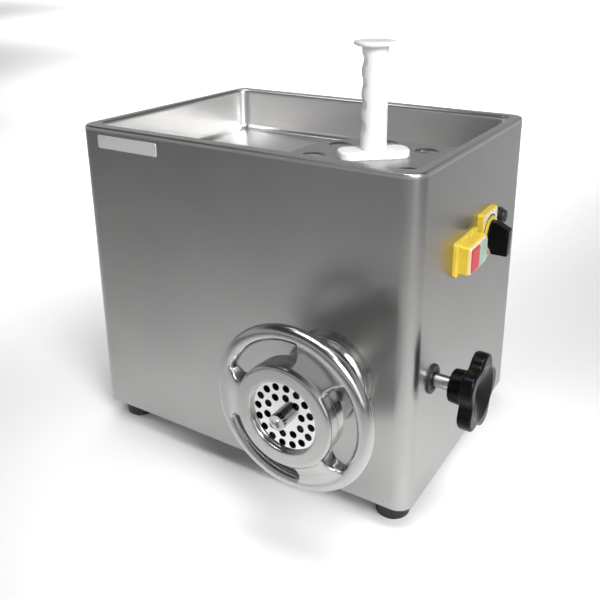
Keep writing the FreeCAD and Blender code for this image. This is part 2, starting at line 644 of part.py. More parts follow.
def wheel_webs():
    """Three wide webs that slope back from the ring nut's face to the wheel's ring."""
    outer = WHEEL_R - WHEEL_TUBE_R + 4.0
    inner = NUT_R - 5.0
    middle = (NUT_R + outer) / 2 - 1
    turn = math.radians(-60)
    side = [(inner, math.radians(29)), (middle, math.radians(19)), (outer, math.radians(25))]
    left = [wheel_point(r, turn + a) for r, a in side]
    right = [wheel_point(r, turn - a) for r, a in side]
    face = Part.Face(Part.Wire([
        Part.Arc(left[0], left[1], left[2]).toShape(),
        Part.Arc(left[2], wheel_point(outer, turn), right[2]).toShape(),
        Part.Arc(right[2], right[1], right[0]).toShape(),
        Part.Arc(right[0], wheel_point(inner, turn), left[0]).toShape(),
    ]))
    face.translate(V(0, NUT_FRONT - 5, 0))
    plan = face.extrude(V(0, 45, 0))
    wedge = turned_y([(inner - 2, NUT_FRONT + 3), (NUT_R, NUT_FRONT + 3), (outer + 1, WHEEL_Y - 7),
                      (outer + 1, WHEEL_Y + 7), (NUT_R, NUT_FRONT + 31), (inner - 2, NUT_FRONT + 31)])
    nut = turned_y([(0, NUT_FRONT)] + nut_outside() + [(0, NUT_FRONT + 34)])
    web = cut_all(plan.common(wedge), [nut, wheel_ring()])
    webs = []
    for k in range(3):
        copy = web.copy()
        copy.rotate(V(AXIS_X, 0, AXIS_Z), V(0, 1, 0), 120 * k)
        webs.append(copy)
    return group(webs)


def wheel_point(radius, angle):
    return V(AXIS_X + radius * math.cos(angle), 0, AXIS_Z + radius * math.sin(angle))


def wheel_ring():
    return Part.makeTorus(WHEEL_R, WHEEL_TUBE_R, V(AXIS_X, WHEEL_Y, AXIS_Z), V(0, 1, 0))


# ---------------------------------------------------------------- drive
def involute_gear(teeth, y0, y1, x, z, phase):
    """Spur gear about a line along Y; phase turns it about its axis, in degrees."""
    pitch_r = MODULE * teeth / 2
    pressure = math.radians(PRESSURE_ANGLE)
    base_r = pitch_r * math.cos(pressure)
    tip_r = pitch_r + MODULE * 0.95
    root_r = pitch_r - MODULE * 1.2
    backlash = 0.16
    half_tooth = math.pi / (2 * teeth) - backlash / (2 * pitch_r)
    inv_pitch = math.tan(pressure) - pressure

    def flank_angle(r):
        roll = math.acos(min(1.0, base_r / r))
        return half_tooth + inv_pitch - (math.tan(roll) - roll)

    start_r = max(base_r, root_r)
    radii = [start_r + (tip_r - start_r) * k / 4.0 for k in range(5)]
    step = 2 * math.pi / teeth
    edges = []
    for tooth in range(teeth):
        mid = math.radians(phase) + tooth * step

        def point(r, a):
            return V(x + r * math.cos(mid + a), y0, z + r * math.sin(mid + a))

        rising = [point(r, -flank_angle(r)) for r in radii]
        falling = [point(r, flank_angle(r)) for r in reversed(radii)]
        foot = flank_angle(radii[0])
        if root_r < start_r:
            edges.append(Part.makeLine(point(root_r, -foot), rising[0]))
        up = Part.BSplineCurve()
        up.interpolate(rising)
        edges.append(up.toShape())
        edges.append(Part.Arc(rising[-1], point(tip_r, 0), falling[0]).toShape())
        down = Part.BSplineCurve()
        down.interpolate(falling)
        edges.append(down.toShape())
        low = min(root_r, start_r)
        if root_r < start_r:
            edges.append(Part.makeLine(falling[-1], point(root_r, foot)))
        edges.append(Part.Arc(point(low, foot), point(low, step / 2),
                              point(low, step - foot)).toShape())
    face = Part.Face(Part.Wire(edges))
    return face.extrude(V(0, y1 - y0, 0))


def output_gear():
    gear = involute_gear(GEAR_TEETH, GEAR_Y0, GEAR_Y1, AXIS_X, AXIS_Z, 0.0)
    tools = [cyl_y(HUB_R, GEAR_Y0 - 1, GEAR_Y1 + 1)]
    for side in (GEAR_Y0 - 1, GEAR_Y1 - 6):
        tools.append(ring_y(78, 34, side, side + 7))
    for k in range(6):
        turn = math.radians(60 * k)
        tools.append(cyl_y(13, GEAR_Y0, GEAR_Y1, AXIS_X + 56 * math.cos(turn), AXIS_Z + 56 * math.sin(turn)))
    return cut_all(gear, tools)


def drive_hub():
    """Output shaft with the square socket that turns the worm."""
    hub = turned_y([(0, -42), (HUB_R - 1, -42), (HUB_R, -41), (HUB_R, 24), (15, 24), (15, 36), (0, 36)])
    reach = TANG + FIT
    return hub.cut(box(AXIS_X - reach, AXIS_X + reach, -43, -8, AXIS_Z - reach, AXIS_Z + reach))


def output_bearings():
    front = ring_y(34, HUB_R + RUN, GEARBOX_FRONT, GEARBOX_FRONT + 12)
    rear = ring_y(28, 15 + RUN, 25, 36)
    return group([front, rear])


def gearbox_outline(big_r, small_r, y0, y1):
    big = cyl_y(big_r, y0, y1)
    small = cyl_y(small_r, y0, y1, MOTOR_X, AXIS_Z)
    bridge = box(MOTOR_X, AXIS_X, y0, y1, AXIS_Z - small_r, AXIS_Z + small_r)
    return fuse_all([big, small, bridge])


def gearbox_case():
    """Cast case, open towards the motor."""
    outer = gearbox_outline(100, 40, GEARBOX_FRONT, 28)
    hollow = gearbox_outline(94, 33, GEARBOX_FRONT + 8, 29)
    pads = [box(AXIS_X + sx * 70 - 14, AXIS_X + sx * 70 + 14, -30, 22, FOOT_H + SHEET, AXIS_Z - 62)
            for sx in (-1, 1)]
    body = fuse_all([outer] + pads)
    return cut_all(body, [hollow, cyl_y(34, GEARBOX_FRONT - 1, GEARBOX_FRONT + 12)])


def gearbox_cover():
    cover = gearbox_outline(100, 40, 28, 36)
    return cut_all(cover, [cyl_y(28, 20, 40), cyl_y(20, 20, 40, MOTOR_X, AXIS_Z)])


def motor_y(r, y0, y1):
    return cyl_y(r, y0, y1, MOTOR_X, AXIS_Z)


def motor_stator():
    """Finned motor frame bolted to the gearbox cover."""
    parts = [motor_y(58, 44, 150)]
    for k in range(24):
        fin = box(MOTOR_X + 55, MOTOR_X + 64, 50, 146, AXIS_Z - 1.5, AXIS_Z + 1.5)
        fin.rotate(V(MOTOR_X, 0, AXIS_Z), V(0, 1, 0), 15 * k)
        parts.append(fin)
    return fuse_all(parts).cut(motor_y(34, 40, 160))


def motor_end_bells():
    front = motor_y(58, 36, 44).cut(motor_y(20, 30, 50))
    rear = motor_y(58, 150, 158).cut(motor_y(20, 140, 160))
    return group([front, rear])


def motor_bearings():
    front = ring_y(20, MOTOR_SHAFT_R + RUN, 30, 44, MOTOR_X)
    rear = ring_y(20, MOTOR_SHAFT_R + RUN, 150, 158, MOTOR_X)
    return group([front, rear])


def motor_rotor():
    shaft = motor_y(MOTOR_SHAFT_R, -22, 178)
    core = motor_y(33, 56, 138)
    return shaft.fuse(core).removeSplitter()


def motor_pinion():
    phase = 0.5 * 360.0 / PINION_TEETH
    pinion = involute_gear(PINION_TEETH, GEAR_Y0 - 1, GEAR_Y1 + 1, MOTOR_X, AXIS_Z, phase)
    return pinion.cut(motor_y(MOTOR_SHAFT_R, -30, 30))


def motor_fan():
    parts = [motor_y(16, 162, 176), motor_y(46, 162, 164)]
    for k in range(8):
        blade = box(MOTOR_X + 12, MOTOR_X + 46, 163, 176, AXIS_Z - 1.2, AXIS_Z + 1.2)
        blade.rotate(V(MOTOR_X, 0, AXIS_Z), V(0, 1, 0), 45 * k)
        parts.append(blade)
    return fuse_all(parts).cut(motor_y(MOTOR_SHAFT_R, 150, 180))


def motor_fan_cowl():
    cowl = motor_y(61, 158, 182).cut(motor_y(59, 157, 180.5))
    tools = [ring_y(18 + 10 * k, 13 + 10 * k, 175, 190, MOTOR_X) for k in range(4)]
    ribs = [box(MOTOR_X - 60, MOTOR_X + 60, 170, 195, AXIS_Z - 3, AXIS_Z + 3),
            box(MOTOR_X - 3, MOTOR_X + 3, 170, 195, AXIS_Z - 60, AXIS_Z + 60)]
    slots = fuse_all(tools)
    for rib in ribs:
        slots = slots.cut(rib)
    return cowl.cut(slots)


def run_capacitor():
    body = cyl_z(22, FOOT_H + SHEET, FOOT_H + SHEET + 95, -150, 60)
    return body.makeFillet(3, [e for e in body.Edges if e.BoundBox.ZMin > 100])


def terminal_block():
    z0 = FOOT_H + SHEET
    block = box(-200, -140, 130, 155, z0, z0 + 26)
    wells = [cyl_z(3.5, z0 + 12, z0 + 30, -192 + 11 * k, 142.5) for k in range(5)]
    return cut_all(block, wells)


# ---------------------------------------------------------------- controls
def switch_box():
    """Yellow start and stop box: a flange on the wall, a raised body and its button wells."""
    face = RIGHT + BOX_DEPTH
    flange = side_prism(38, 23, 4, RIGHT, RIGHT + 5, SWITCH_Y, SWITCH_Z)
    flange = flange.makeFillet(1.2, [e for e in flange.Edges if e.BoundBox.XMin > RIGHT + 4.9])
    body = side_prism(31, 19.5, 3.5, RIGHT + 5, face, SWITCH_Y - 2, SWITCH_Z)
    body = body.makeFillet(1.5, [e for e in body.Edges if e.BoundBox.XMin > face - 0.1])
    plug = side_prism(29, 17, 3, RIGHT - 12, RIGHT, SWITCH_Y - 1.5, SWITCH_Z)
    wells = [side_prism(14.0, 15.6, 2, RIGHT + 5, face + 1, SWITCH_Y - 2 + side * BUTTON_STEP,
                        SWITCH_Z) for side in (-1, 1)]
    return cut_all(fuse_all([flange, body, plug]), wells)


def button_bezel():
    """Pale frame round both push buttons, clipped on the box."""
    face = RIGHT + BOX_DEPTH
    frame = side_prism(29.4, 17.2, 2.6, face, face + 2.5, SWITCH_Y - 2, SWITCH_Z)
    frame = frame.makeFillet(0.6, [e for e in frame.Edges if e.BoundBox.XMin > face + 2.4])
    openings = [side_prism(13.9, 15.5, 1.9, face - 1, face + 4, SWITCH_Y - 2 + side * BUTTON_STEP,
                           SWITCH_Z) for side in (-1, 1)]
    return cut_all(frame, openings)


def push_button(side):
    """Rectangular push button; side is -1 for the front one and 1 for the rear one."""
    y = SWITCH_Y - 2 + side * BUTTON_STEP
    end = RIGHT + BOX_DEPTH + 4
    button = side_prism(13.6, 15.2, 1.7, end - 14, end, y, SWITCH_Z)
    return button.makeFillet(1.2, [e for e in button.Edges if e.BoundBox.XMin > end - 0.1])


def switch_contacts():
    return box(RIGHT - 36, RIGHT - 12, SWITCH_Y - 29, SWITCH_Y + 26, SWITCH_Z - 16, SWITCH_Z + 16)


def selector_plate():
    """Square yellow plate of the rotary selector."""
    plate = side_prism(28, 33.5, 3, RIGHT, RIGHT + 8.5, SELECTOR_Y, SELECTOR_Z)
    plate = plate.makeFillet(1.5, [e for e in plate.Edges if e.BoundBox.XMin > RIGHT + 8.4])
    return plate.cut(cyl_x(8.3, RIGHT - 1, RIGHT + 10, SELECTOR_Y, SELECTOR_Z))


def selector_ring():
    return ring_x(25.0, 20.2, RIGHT + 8.5, RIGHT + 11.5, SELECTOR_Y, SELECTOR_Z)


def selector_cams():
    body = cyl_x(20, RIGHT - 50, RIGHT - SHEET, SELECTOR_Y, SELECTOR_Z)
    neck = cyl_x(14.5, RIGHT - SHEET, RIGHT, SELECTOR_Y, SELECTOR_Z)
    return cut_all(body.fuse(neck).removeSplitter(),
                   [cyl_x(8.3, RIGHT - 30, RIGHT + 1, SELECTOR_Y, SELECTOR_Z)])


def selector_lever():
    """Black disc, thick pointer lever and spindle, in one moulding."""
    disc = cyl_x(19.5, RIGHT + 9.0, RIGHT + 13.0, SELECTOR_Y, SELECTOR_Z)
    disc = disc.makeFillet(1.0, [e for e in disc.Edges if e.BoundBox.XMin > RIGHT + 12.9])
    spindle = cyl_x(8.0, RIGHT - 26, RIGHT + 9.0, SELECTOR_Y, SELECTOR_Z)
    profile = Part.makePolygon([
        V(RIGHT + 12, 0, 19), V(RIGHT + 20, 0, 19), V(RIGHT + 37, 0, 10.5), V(RIGHT + 36, 0, -27),
        V(RIGHT + 14, 0, -27), V(RIGHT + 12, 0, -19), V(RIGHT + 12, 0, 19)])
    lever = Part.Face(profile).extrude(V(0, 14, 0))
    lever.translate(V(0, SELECTOR_Y - 7, SELECTOR_Z))
    lever = lever.makeFillet(1.6, [e for e in lever.Edges if e.CenterOfMass.x > RIGHT + 13.5])
    return fuse_all([disc, spindle, lever])


def reset_collar():
    return ring_x(12.0, 9.8, RIGHT, RIGHT + 3.0, RESET_Y, RESET_Z)


def reset_button():
    """Domed rubber cap of the overload reset, on its plunger."""
    cap = cyl_x(9.5, RIGHT + 2.2, RIGHT + 10, RESET_Y, RESET_Z)
    cap = cap.makeFillet(4.0, [e for e in cap.Edges if e.BoundBox.XMin > RIGHT + 9.9])
    return cap.fuse(cyl_x(4.0, RIGHT - 8, RIGHT + 2.2, RESET_Y, RESET_Z)).removeSplitter()


def overload_relay():
    relay = box(RIGHT - 34, RIGHT - SHEET, RESET_Y - 14, RESET_Y + 14, RESET_Z - 20, RESET_Z + 20)
    return relay.cut(cyl_x(5.0, RIGHT - 14, RIGHT, RESET_Y, RESET_Z))


# ---------------------------------------------------------------- write every piece
def main():
    os.makedirs("parts", exist_ok=True)
    save("housing_shell", housing_shell())
    save("hopper_pan", hopper_pan())
    save("feed_throat", feed_throat())
    save("throat_flange", throat_flange())
    save("base_plate", base_plate())
    for name, (x, y) in foot_centres().items():
        save("foot_" + name, foot(x, y))
    save("foot_screws", foot_screws())
    save("rear_cover", rear_cover())
    save("rear_screws", rear_screws())
    save("cable_gland", cable_gland())
    save("gland_locknut", gland_locknut())
    save("name_plate", name_plate())
    save("guard_plate", guard_plate())
    save("guard_posts", guard_posts())
    save("pusher_stem", pusher_stem())
    save("pusher_grip", pusher_grip())
    save("barrel_socket", barrel_socket())
    save("socket_bolts", socket_bolts())
    save("collar_gasket", collar_gasket())
    save("clamp_pad", clamp_pad())
    save("clamp_screw", clamp_screw())
    save("clamp_grommet", clamp_grommet())
    save("star_knob", star_knob())
    save("barrel", barrel())
    save("worm", worm())
    save("knife", knife())
    save("cutting_plate", cutting_plate())
    save("ring_nut", ring_nut())
    save("wheel_webs", wheel_webs())
    save("wheel_ring", wheel_ring())
    save("output_gear", output_gear())
    save("drive_hub", drive_hub())
    save("output_bearings", output_bearings())
    save("gearbox_case", gearbox_case())
    save("gearbox_cover", gearbox_cover())
    save("motor_stator", motor_stator())
    save("motor_end_bells", motor_end_bells())
    save("motor_bearings", motor_bearings())
    save("motor_rotor", motor_rotor())
    save("motor_pinion", motor_pinion())
    save("motor_fan", motor_fan())
    save("motor_fan_cowl", motor_fan_cowl())
    save("run_capacitor", run_capacitor())
    save("terminal_block", terminal_block())
    save("switch_box", switch_box())
    save("button_bezel", button_bezel())
    save("stop_button", push_button(-1))
    save("start_button", push_button(1))
    save("switch_contacts", switch_contacts())
    save("selector_plate", selector_plate())
    save("selector_ring", selector_ring())
    save("selector_cams", selector_cams())
    save("selector_lever", selector_lever())
    save("reset_collar", reset_collar())
    save("reset_button", reset_button())
    save("overload_relay", overload_relay())
    for name, solids, volume in saved:
        print(name, solids, volume)


main()
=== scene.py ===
import json
import math
import random

import bmesh
import bpy
from mathutils import Matrix, Vector


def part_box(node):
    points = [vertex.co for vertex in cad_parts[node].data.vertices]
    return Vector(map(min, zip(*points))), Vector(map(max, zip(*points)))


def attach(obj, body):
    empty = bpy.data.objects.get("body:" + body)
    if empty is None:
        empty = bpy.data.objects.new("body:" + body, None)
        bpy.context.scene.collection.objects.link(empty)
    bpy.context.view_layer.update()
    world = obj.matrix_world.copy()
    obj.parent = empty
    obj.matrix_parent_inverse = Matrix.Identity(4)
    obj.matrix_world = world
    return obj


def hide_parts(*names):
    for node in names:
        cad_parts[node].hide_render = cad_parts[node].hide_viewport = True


# Electric meat grinder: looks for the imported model.  Metres, +X to the operator's right, +Y to the
# rear, +Z up, the origin on the standing plane below the middle of the machine.
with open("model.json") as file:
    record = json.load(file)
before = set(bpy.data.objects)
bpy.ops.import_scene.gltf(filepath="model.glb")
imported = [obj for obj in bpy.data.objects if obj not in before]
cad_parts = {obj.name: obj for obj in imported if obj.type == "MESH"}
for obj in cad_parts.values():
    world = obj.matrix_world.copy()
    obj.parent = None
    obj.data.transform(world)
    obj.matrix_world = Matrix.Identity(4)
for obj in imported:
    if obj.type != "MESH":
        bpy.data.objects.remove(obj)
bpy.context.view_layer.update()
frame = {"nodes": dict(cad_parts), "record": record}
nodes = frame["nodes"]


# ---------------------------------------------------------------- materials
class Shader:
    """A material's node tree, written one short call at a time."""

    def __init__(self, name):
        self.material = bpy.data.materials.new(name)
        self.material.use_nodes = True
        self.nodes = self.material.node_tree.nodes
        self.links = self.material.node_tree.links
        self.surface = self.nodes["Principled BSDF"]

    def set(self, **values):
        for name, value in values.items():
            self.surface.inputs[name.replace("_", " ")].default_value = value

    def drive(self, name, output):
        self.links.new(output, self.surface.inputs[name])

    def coordinates(self, scale):
        source = self.nodes.new("ShaderNodeTexCoord")
        mapping = self.nodes.new("ShaderNodeMapping")
        mapping.inputs["Scale"].default_value = scale
        self.links.new(source.outputs["Object"], mapping.inputs["Vector"])
        return mapping.outputs["Vector"]

    def noise(self, scale, detail=2.0, roughness=0.5):
        """Noise with its own number of features per metre along each axis."""
        node = self.nodes.new("ShaderNodeTexNoise")
        node.inputs["Scale"].default_value = 1.0
        node.inputs["Detail"].default_value = detail
        node.inputs["Roughness"].default_value = roughness
        self.links.new(self.coordinates(scale), node.inputs["Vector"])
        return node.outputs["Fac"]

    def spread(self, value, low, high):
        """Map 0.3-0.7 of a noise to the range low-high."""
        node = self.nodes.new("ShaderNodeMapRange")
        node.inputs["From Min"].default_value = 0.3
        node.inputs["From Max"].default_value = 0.7
        node.inputs["To Min"].default_value = low
        node.inputs["To Max"].default_value = high
        self.links.new(value, node.inputs["Value"])
        return node.outputs["Result"]

    def math(self, operation, first, second):
        node = self.nodes.new("ShaderNodeMath")
        node.operation = operation
        for socket, value in zip(node.inputs, (first, second)):
            if isinstance(value, (int, float)):
                socket.default_value = value
            else:
                self.links.new(value, socket)
        return node.outputs["Value"]

    def height(self):
        """Height in metres above the standing plane, on a mesh that keeps the frame's axes."""
        split = self.nodes.new("ShaderNodeSeparateXYZ")
        self.links.new(self.coordinates((1, 1, 1)), split.inputs["Vector"])
        return split.outputs["Z"]

    def colours(self, value, dark, light, low=0.35, high=0.65):
        node = self.nodes.new("ShaderNodeValToRGB")
        node.color_ramp.elements[0].position = low
        node.color_ramp.elements[1].position = high
        node.color_ramp.elements[0].color = (*dark, 1)
        node.color_ramp.elements[1].color = (*light, 1)
        self.links.new(value, node.inputs["Fac"])
        return node.outputs["Color"]

    def bump(self, height, strength, distance, normal=None):
        node = self.nodes.new("ShaderNodeBump")
        node.inputs["Strength"].default_value = strength
        node.inputs["Distance"].default_value = distance
        self.links.new(height, node.inputs["Height"])
        if normal is not None:
            self.links.new(normal, node.inputs["Normal"])
        return node.outputs["Normal"]


SHEET_TONE = (0.41, 0.405, 0.40)
SHEET_GRAIN = (3, 3, 700)    # brushed lines that run level round the machine
RIM_Z = 0.473                # top of the pan's rim
BRUSH_HEIGHT = 0.0006        # heights of the surface textures
RIPPLE_HEIGHT = 0.002
BUFF_HEIGHT = 0.0002
SKIN_HEIGHT = 0.0004


def toned(tone, factor):
    """A tone made lighter or darker."""
    return [min(1.0, channel * factor) for channel in tone]


def brushed_steel(name, tone, roughness, grain, grain_depth=0.10):
    """Steel sheet brushed along the long direction of grain, a scale per axis."""
    shader = Shader(name)
    lines = shader.noise(grain, 3.0, 0.7)
    cloud = shader.noise((7, 7, 7))
    shader.drive("Base Color", shader.colours(cloud, toned(tone, 0.96), toned(tone, 1.03)))
    both = shader.math("ADD", shader.math("MULTIPLY", lines, 0.8), shader.math("MULTIPLY", cloud, 0.2))
    shader.drive("Roughness", shader.spread(both, roughness - 0.03, roughness + 0.03))
    shader.drive("Normal", shader.bump(lines, grain_depth, BRUSH_HEIGHT))
    shader.set(Metallic=1.0)
    return shader.material


def pan_with_painted_light(name, inside, rim):
    """Steel pressing with painted light and shade: a lighter colour inside below the rim's height, and a
    darker colour on the rim.
    """
    shader = Shader(name)
    lines = shader.noise(SHEET_GRAIN, 3.0, 0.7)
    painted_light_height = shader.height()
    # Painted light inside the pan and painted shade on the rim: only the colour changes at the rim's
    # height, the roughness stays the same.
    shader.drive("Base Color", shader.colours(painted_light_height, inside, rim, RIM_Z - 0.006, RIM_Z - 0.002))
    shader.drive("Roughness", shader.spread(lines, 0.29, 0.35))
    shader.drive("Normal", shader.bump(lines, 0.10, BRUSH_HEIGHT))
    shader.set(Metallic=1.0)
    return shader.material


def polished_steel(name, tone, roughness, wave=0.04):
    """Machine-polished casting: nearly mirror, with faint waviness and buffing haze."""
    shader = Shader(name)
    haze = shader.noise((30, 30, 30), 4.0, 0.6)
    ripple = shader.noise((55, 55, 55))
    fine = shader.noise((900, 900, 900))
    shader.drive("Base Color", shader.colours(haze, toned(tone, 0.97), toned(tone, 1.02)))
    shader.drive("Roughness", shader.spread(haze, roughness - 0.03, roughness + 0.04))
    soft = shader.bump(ripple, wave, RIPPLE_HEIGHT)
    shader.drive("Normal", shader.bump(fine, 0.03, BUFF_HEIGHT, soft))
    shader.set(Metallic=1.0)
    return shader.material


def moulded_plastic(name, tone, roughness, grain, depth, coat=0.0, change=0.05, shine=0.5):
    """Moulded plastic or rubber: fine skin texture and slight tone changes."""
    shader = Shader(name)
    skin = shader.noise((grain, grain, grain), 3.0, 0.6)
    cloud = shader.noise((18, 18, 18), 3.0)
    shader.drive("Base Color", shader.colours(cloud, toned(tone, 1 - change), toned(tone, 1 + change)))
    shader.drive("Roughness", shader.spread(cloud, roughness - 0.04, roughness + 0.04))
    shader.drive("Normal", shader.bump(skin, depth, SKIN_HEIGHT))
    shader.set(Coat_Weight=coat, Coat_Roughness=0.12, Specular_IOR_Level=shine)
    return shader.material


MATERIALS = {
    "housing_steel": brushed_steel("housing_steel", SHEET_TONE, 0.32, SHEET_GRAIN),
    # pan_steel: painted light inside the pan, painted shade on its rim
    "pan_steel": pan_with_painted_light("pan_steel", (0.74, 0.735, 0.73), SHEET_TONE),
    "guard_steel": brushed_steel("guard_steel", (0.42, 0.42, 0.42), 0.36, (4, 600, 600)),
    "polished_steel": polished_steel("polished_steel", (0.46, 0.455, 0.45), 0.20),
    "tool_steel": brushed_steel("tool_steel", (0.80, 0.80, 0.79), 0.09, (300, 20, 300), 0.03),
    "chrome_steel": polished_steel("chrome_steel", (0.52, 0.52, 0.52), 0.06, 0.02),
    "dark_steel": brushed_steel("dark_steel", (0.05, 0.05, 0.05), 0.35, (20, 300, 300)),
    "machine_steel": brushed_steel("machine_steel", (0.48, 0.48, 0.49), 0.3, (60, 800, 60)),
    "zinc_plated": polished_steel("zinc_plated", (0.60, 0.60, 0.62), 0.3),
    "cast_case": moulded_plastic("cast_case", (0.36, 0.37, 0.38), 0.55, 500, 0.25),
    "black_rubber": moulded_plastic("black_rubber", (0.012, 0.012, 0.013), 0.50, 700, 0.12),
    "black_bakelite": moulded_plastic("black_bakelite", (0.004, 0.004, 0.005), 0.09, 400, 0.01, shine=0.1),
    "black_plastic": moulded_plastic("black_plastic", (0.012, 0.013, 0.013), 0.40, 900, 0.08),
    "white_plastic": moulded_plastic("white_plastic", (0.90, 0.90, 0.89), 0.38, 600, 0.03, 0.1, 0.015),
    "pale_plastic": moulded_plastic("pale_plastic", (0.70, 0.62, 0.52), 0.25, 900, 0.02, 0.4),
    "yellow_plastic": moulded_plastic("yellow_plastic", (0.64, 0.47, 0.045), 0.30, 900, 0.05, 0.2),
    "red_plastic": moulded_plastic("red_plastic", (0.50, 0.022, 0.020), 0.35, 900, 0.05, 0.1),
    "green_plastic": moulded_plastic("green_plastic", (0.28, 0.40, 0.31), 0.25, 900, 0.05, 0.4),
    "brass": polished_steel("brass", (0.70, 0.50, 0.22), 0.28),
    "can_aluminium": brushed_steel("can_aluminium", (0.66, 0.67, 0.68), 0.35, (500, 500, 6)),
    "badge_metal": brushed_steel("badge_metal", (0.96, 0.96, 0.95), 0.55, (4, 4, 900)),
}
SLOTS = {part["node"]: part["material_slot"] for part in frame["record"]["subparts"]}

BROKEN_EDGES = {             # width of the bevel on the sharp edges of a node
    "housing_shell": 0.0004, "base_plate": 0.0004, "rear_cover": 0.0003, "guard_plate": 0.0006,
    "throat_flange": 0.0003, "cutting_plate": 0.0002, "barrel_socket": 0.0004, "collar_gasket": 0.0008,
    "clamp_grommet": 0.0004, "selector_ring": 0.0006, "cable_gland": 0.0004, "name_plate": 0.0002,
}


def dress_nodes():
    """Give every CAD node the material of its slot, and the sheet parts slightly broken edges."""
    for name, obj in nodes.items():
        obj.data.materials.clear()
        obj.data.materials.append(MATERIALS[SLOTS[name]])
        if name in BROKEN_EDGES:
            bevel = obj.modifiers.new("broken_edges", "BEVEL")
            bevel.width = BROKEN_EDGES[name]
            bevel.segments = 2
            bevel.limit_method = "ANGLE"
            bevel.angle_limit = math.radians(40)
            bevel.harden_normals = True


# ---------------------------------------------------------------- pieces
JOINTS = {joint["name"]: joint for joint in frame["record"]["behaviour"]["joints"]}
HEAD_X, _, HEAD_Z = JOINTS["handwheel_turn"]["pos_m"]
NUT_R = 0.064
RING_R = 0.0955              # hand wheel's ring, centre line
WEB_ANGLES = (-60, 60, 180)
WEB_INTO_RING = 0.004        # how far the webs' ends go into the ring and the nut
WEB_INTO_NUT = 0.003
JOIN_IN_R = 0.0585           # the joins flow between these radii
JOIN_OUT_R = 0.094
JOIN_ANGLE = 40.0            # and this far to each side of a web
BODY_OF = {node: body for body, names in frame["record"]["behaviour"]["bodies"].items() for node in names}


def add_piece(name, data, body, slot):
    """Put a finished mesh into the scene as part of a body, with the finish of a slot."""
    piece = bpy.data.objects.new(name, data)
    bpy.context.scene.collection.objects.link(piece)
    data.materials.clear()
    data.materials.append(MATERIALS[slot])
    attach(piece, body)
    return piece


def mesh_data(name, mesh):
    """The mesh data of a bmesh, which is used up."""
    data = bpy.data.meshes.new(name)
    mesh.to_mesh(data)
    mesh.free()
    return data


def evaluated(piece):
    """The mesh of an object with its modifiers worked in."""
    graph = bpy.context.evaluated_depsgraph_get()
    return bpy.data.meshes.new_from_object(piece.evaluated_get(graph))


def skinned(name, mesh, voxel, passes):
    """One closed skin round all the solids of a bmesh, relaxed by a number of passes."""
    rough = bpy.data.objects.new(name + "_rough", mesh_data(name, mesh))
    bpy.context.scene.collection.objects.link(rough)
    skin = rough.modifiers.new("skin", "REMESH")
    skin.mode = "VOXEL"
    skin.voxel_size = voxel
    skin.use_smooth_shade = True
    relax = rough.modifiers.new("relax", "SMOOTH")
    relax.factor = 0.5
    relax.iterations = passes
    result = evaluated(rough)
    bpy.data.objects.remove(rough)
    return result


def add_moulding(name, sources, voxel, passes):
    """A seamless moulding that stands for CAD nodes of one body."""
    mesh = bmesh.new()
    for source in sources:
        mesh.from_mesh(nodes[source].data)
    data = skinned(name, mesh, voxel, passes)
    piece = add_piece(name, data, BODY_OF[sources[0]], SLOTS[sources[0]])
    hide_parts(*sources)


MOULDINGS = [                # piece, its CAD nodes, voxel size and passes of relaxing
    ("knob_moulding", ["star_knob"], 0.0006, 6),
    ("pusher_rod", ["pusher_stem"], 0.0010, 4),
    ("pusher_handle", ["pusher_grip"], 0.0008, 10),
    ("lever_moulding", ["selector_lever"], 0.0004, 4),
    ("reset_cap", ["reset_button"], 0.0003, 4),
    ("stop_cap", ["stop_button"], 0.0004, 4),
    ("start_cap", ["start_button"], 0.0004, 4),
] + [("rubber_foot_" + place, ["foot_" + place], 0.0008, 4)
     for place in ("front_left", "front_right", "rear_left", "rear_right")]


def sink_web_ends(mesh):
    """Lengthen the webs into the ring and into the nut."""
    for vertex in mesh.verts:
        x = vertex.co.x - HEAD_X
        z = vertex.co.z - HEAD_Z
        radius = math.hypot(x, z)
        if radius > RING_R - 0.012:
            grown = radius + WEB_INTO_RING
        elif radius < NUT_R + 0.001:
            grown = radius - WEB_INTO_NUT
        else:
            grown = radius
        vertex.co.x = HEAD_X + x * grown / radius
        vertex.co.z = HEAD_Z + z * grown / radius


def faded(inside, width):
    """0 at an edge, rising to 1 at a width inside it."""
    return min(1.0, max(0.0, inside / width))


def join_weight(point):
    """How far a point of the wheel belongs to the joins of webs, ring and nut."""
    x = point.x - HEAD_X
    z = point.z - HEAD_Z
    radius = math.hypot(x, z)
    angle = math.degrees(math.atan2(z, x))
    off = min(abs((angle - web + 180) % 360 - 180) for web in WEB_ANGLES)
    near = faded(JOIN_ANGLE - off, 10.0)
    return near * faded(radius - JOIN_IN_R, 0.004) * faded(JOIN_OUT_R - radius, 0.005)


def add_hand_wheel():
    """Ring nut, webs and ring as the one polished casting they are, with flowing joins."""
    mesh = bmesh.new()
    mesh.from_mesh(nodes["wheel_webs"].data)
    sink_web_ends(mesh)
    mesh.from_mesh(nodes["ring_nut"].data)
    mesh.from_mesh(nodes["wheel_ring"].data)
    data = skinned("hand_wheel", mesh, 0.0010, 3)
    wheel = add_piece("hand_wheel", data, "handwheel", "polished_steel")
    joins = wheel.vertex_groups.new(name="joins")
    for vertex in data.vertices:
        joins.add([vertex.index], join_weight(vertex.co), "REPLACE")
    relax = wheel.modifiers.new("relax", "SMOOTH")
    relax.factor = 0.5
    relax.iterations = 40
    relax.vertex_group = "joins"
    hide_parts("ring_nut", "wheel_webs", "wheel_ring")


def lathe(profile, segments):
    """bmesh of a closed profile of (radius, height) turned about Z."""
    mesh = bmesh.new()
    rings = []
    for step in range(segments):
        turn = 2 * math.pi * step / segments
        rings.append([mesh.verts.new((r * math.cos(turn), r * math.sin(turn), h)) for r, h in profile])
    count = len(profile)
    for step in range(segments):
        here = rings[step]
        there = rings[(step + 1) % segments]
        for k in range(count):
            mesh.faces.new((here[k], there[k], there[(k + 1) % count], here[(k + 1) % count]))
    bmesh.ops.recalc_face_normals(mesh, faces=mesh.faces)
    return mesh


